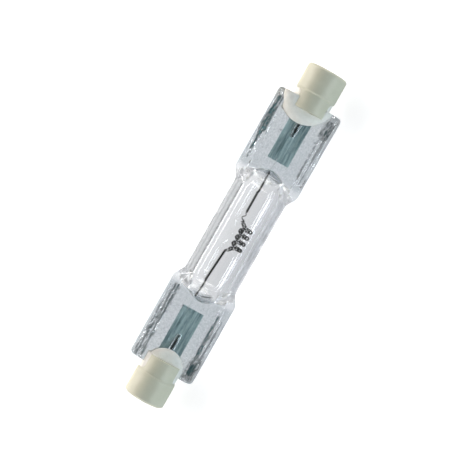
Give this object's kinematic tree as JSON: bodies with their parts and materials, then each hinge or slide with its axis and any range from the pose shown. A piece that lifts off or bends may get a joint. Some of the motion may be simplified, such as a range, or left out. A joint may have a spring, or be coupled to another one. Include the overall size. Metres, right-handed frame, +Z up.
{
  "type": "linear halogen bulb",
  "caption": "Short double-ended linear halogen bulb: clear quartz tube with pressed seals, coiled filament and slotted ceramic caps with recessed contacts.",
  "frame": {"origin": "on the resting surface, under the middle of the lamp's axis", "axes": "+X along the lamp's axis, +Z up; the lamp lies on its tube and on one edge of each pressed seal, with the seals' front faces towards -Y and up"},
  "size_m": [0.0782, 0.0132, 0.012],
  "materials": {
    "quartz": "clear fused quartz",
    "tungsten": "dark drawn tungsten wire",
    "lead_wire": "drawn wire",
    "foil": "blue-grey etched foil",
    "pin": "drawn molybdenum",
    "ceramic": "unglazed steatite, ivory, satin",
    "cement": "matt off-white lamp cement",
    "contact": "turned nickel"
  },
  "bodies": {
    "root": {"quartz_envelope": "quartz", "filament": "tungsten", "inner_lead_left": "lead_wire", "inner_lead_right": "lead_wire", "lead_coil_left": "tungsten", "lead_coil_right": "tungsten", "foil_left": "foil", "foil_right": "foil", "outer_pin_left": "pin", "outer_pin_right": "pin", "cap_left": "ceramic", "cap_right": "ceramic", "cement_left": "cement", "cement_right": "cement", "contact_left": "contact", "contact_right": "contact"}
  },
  "joints": []
}
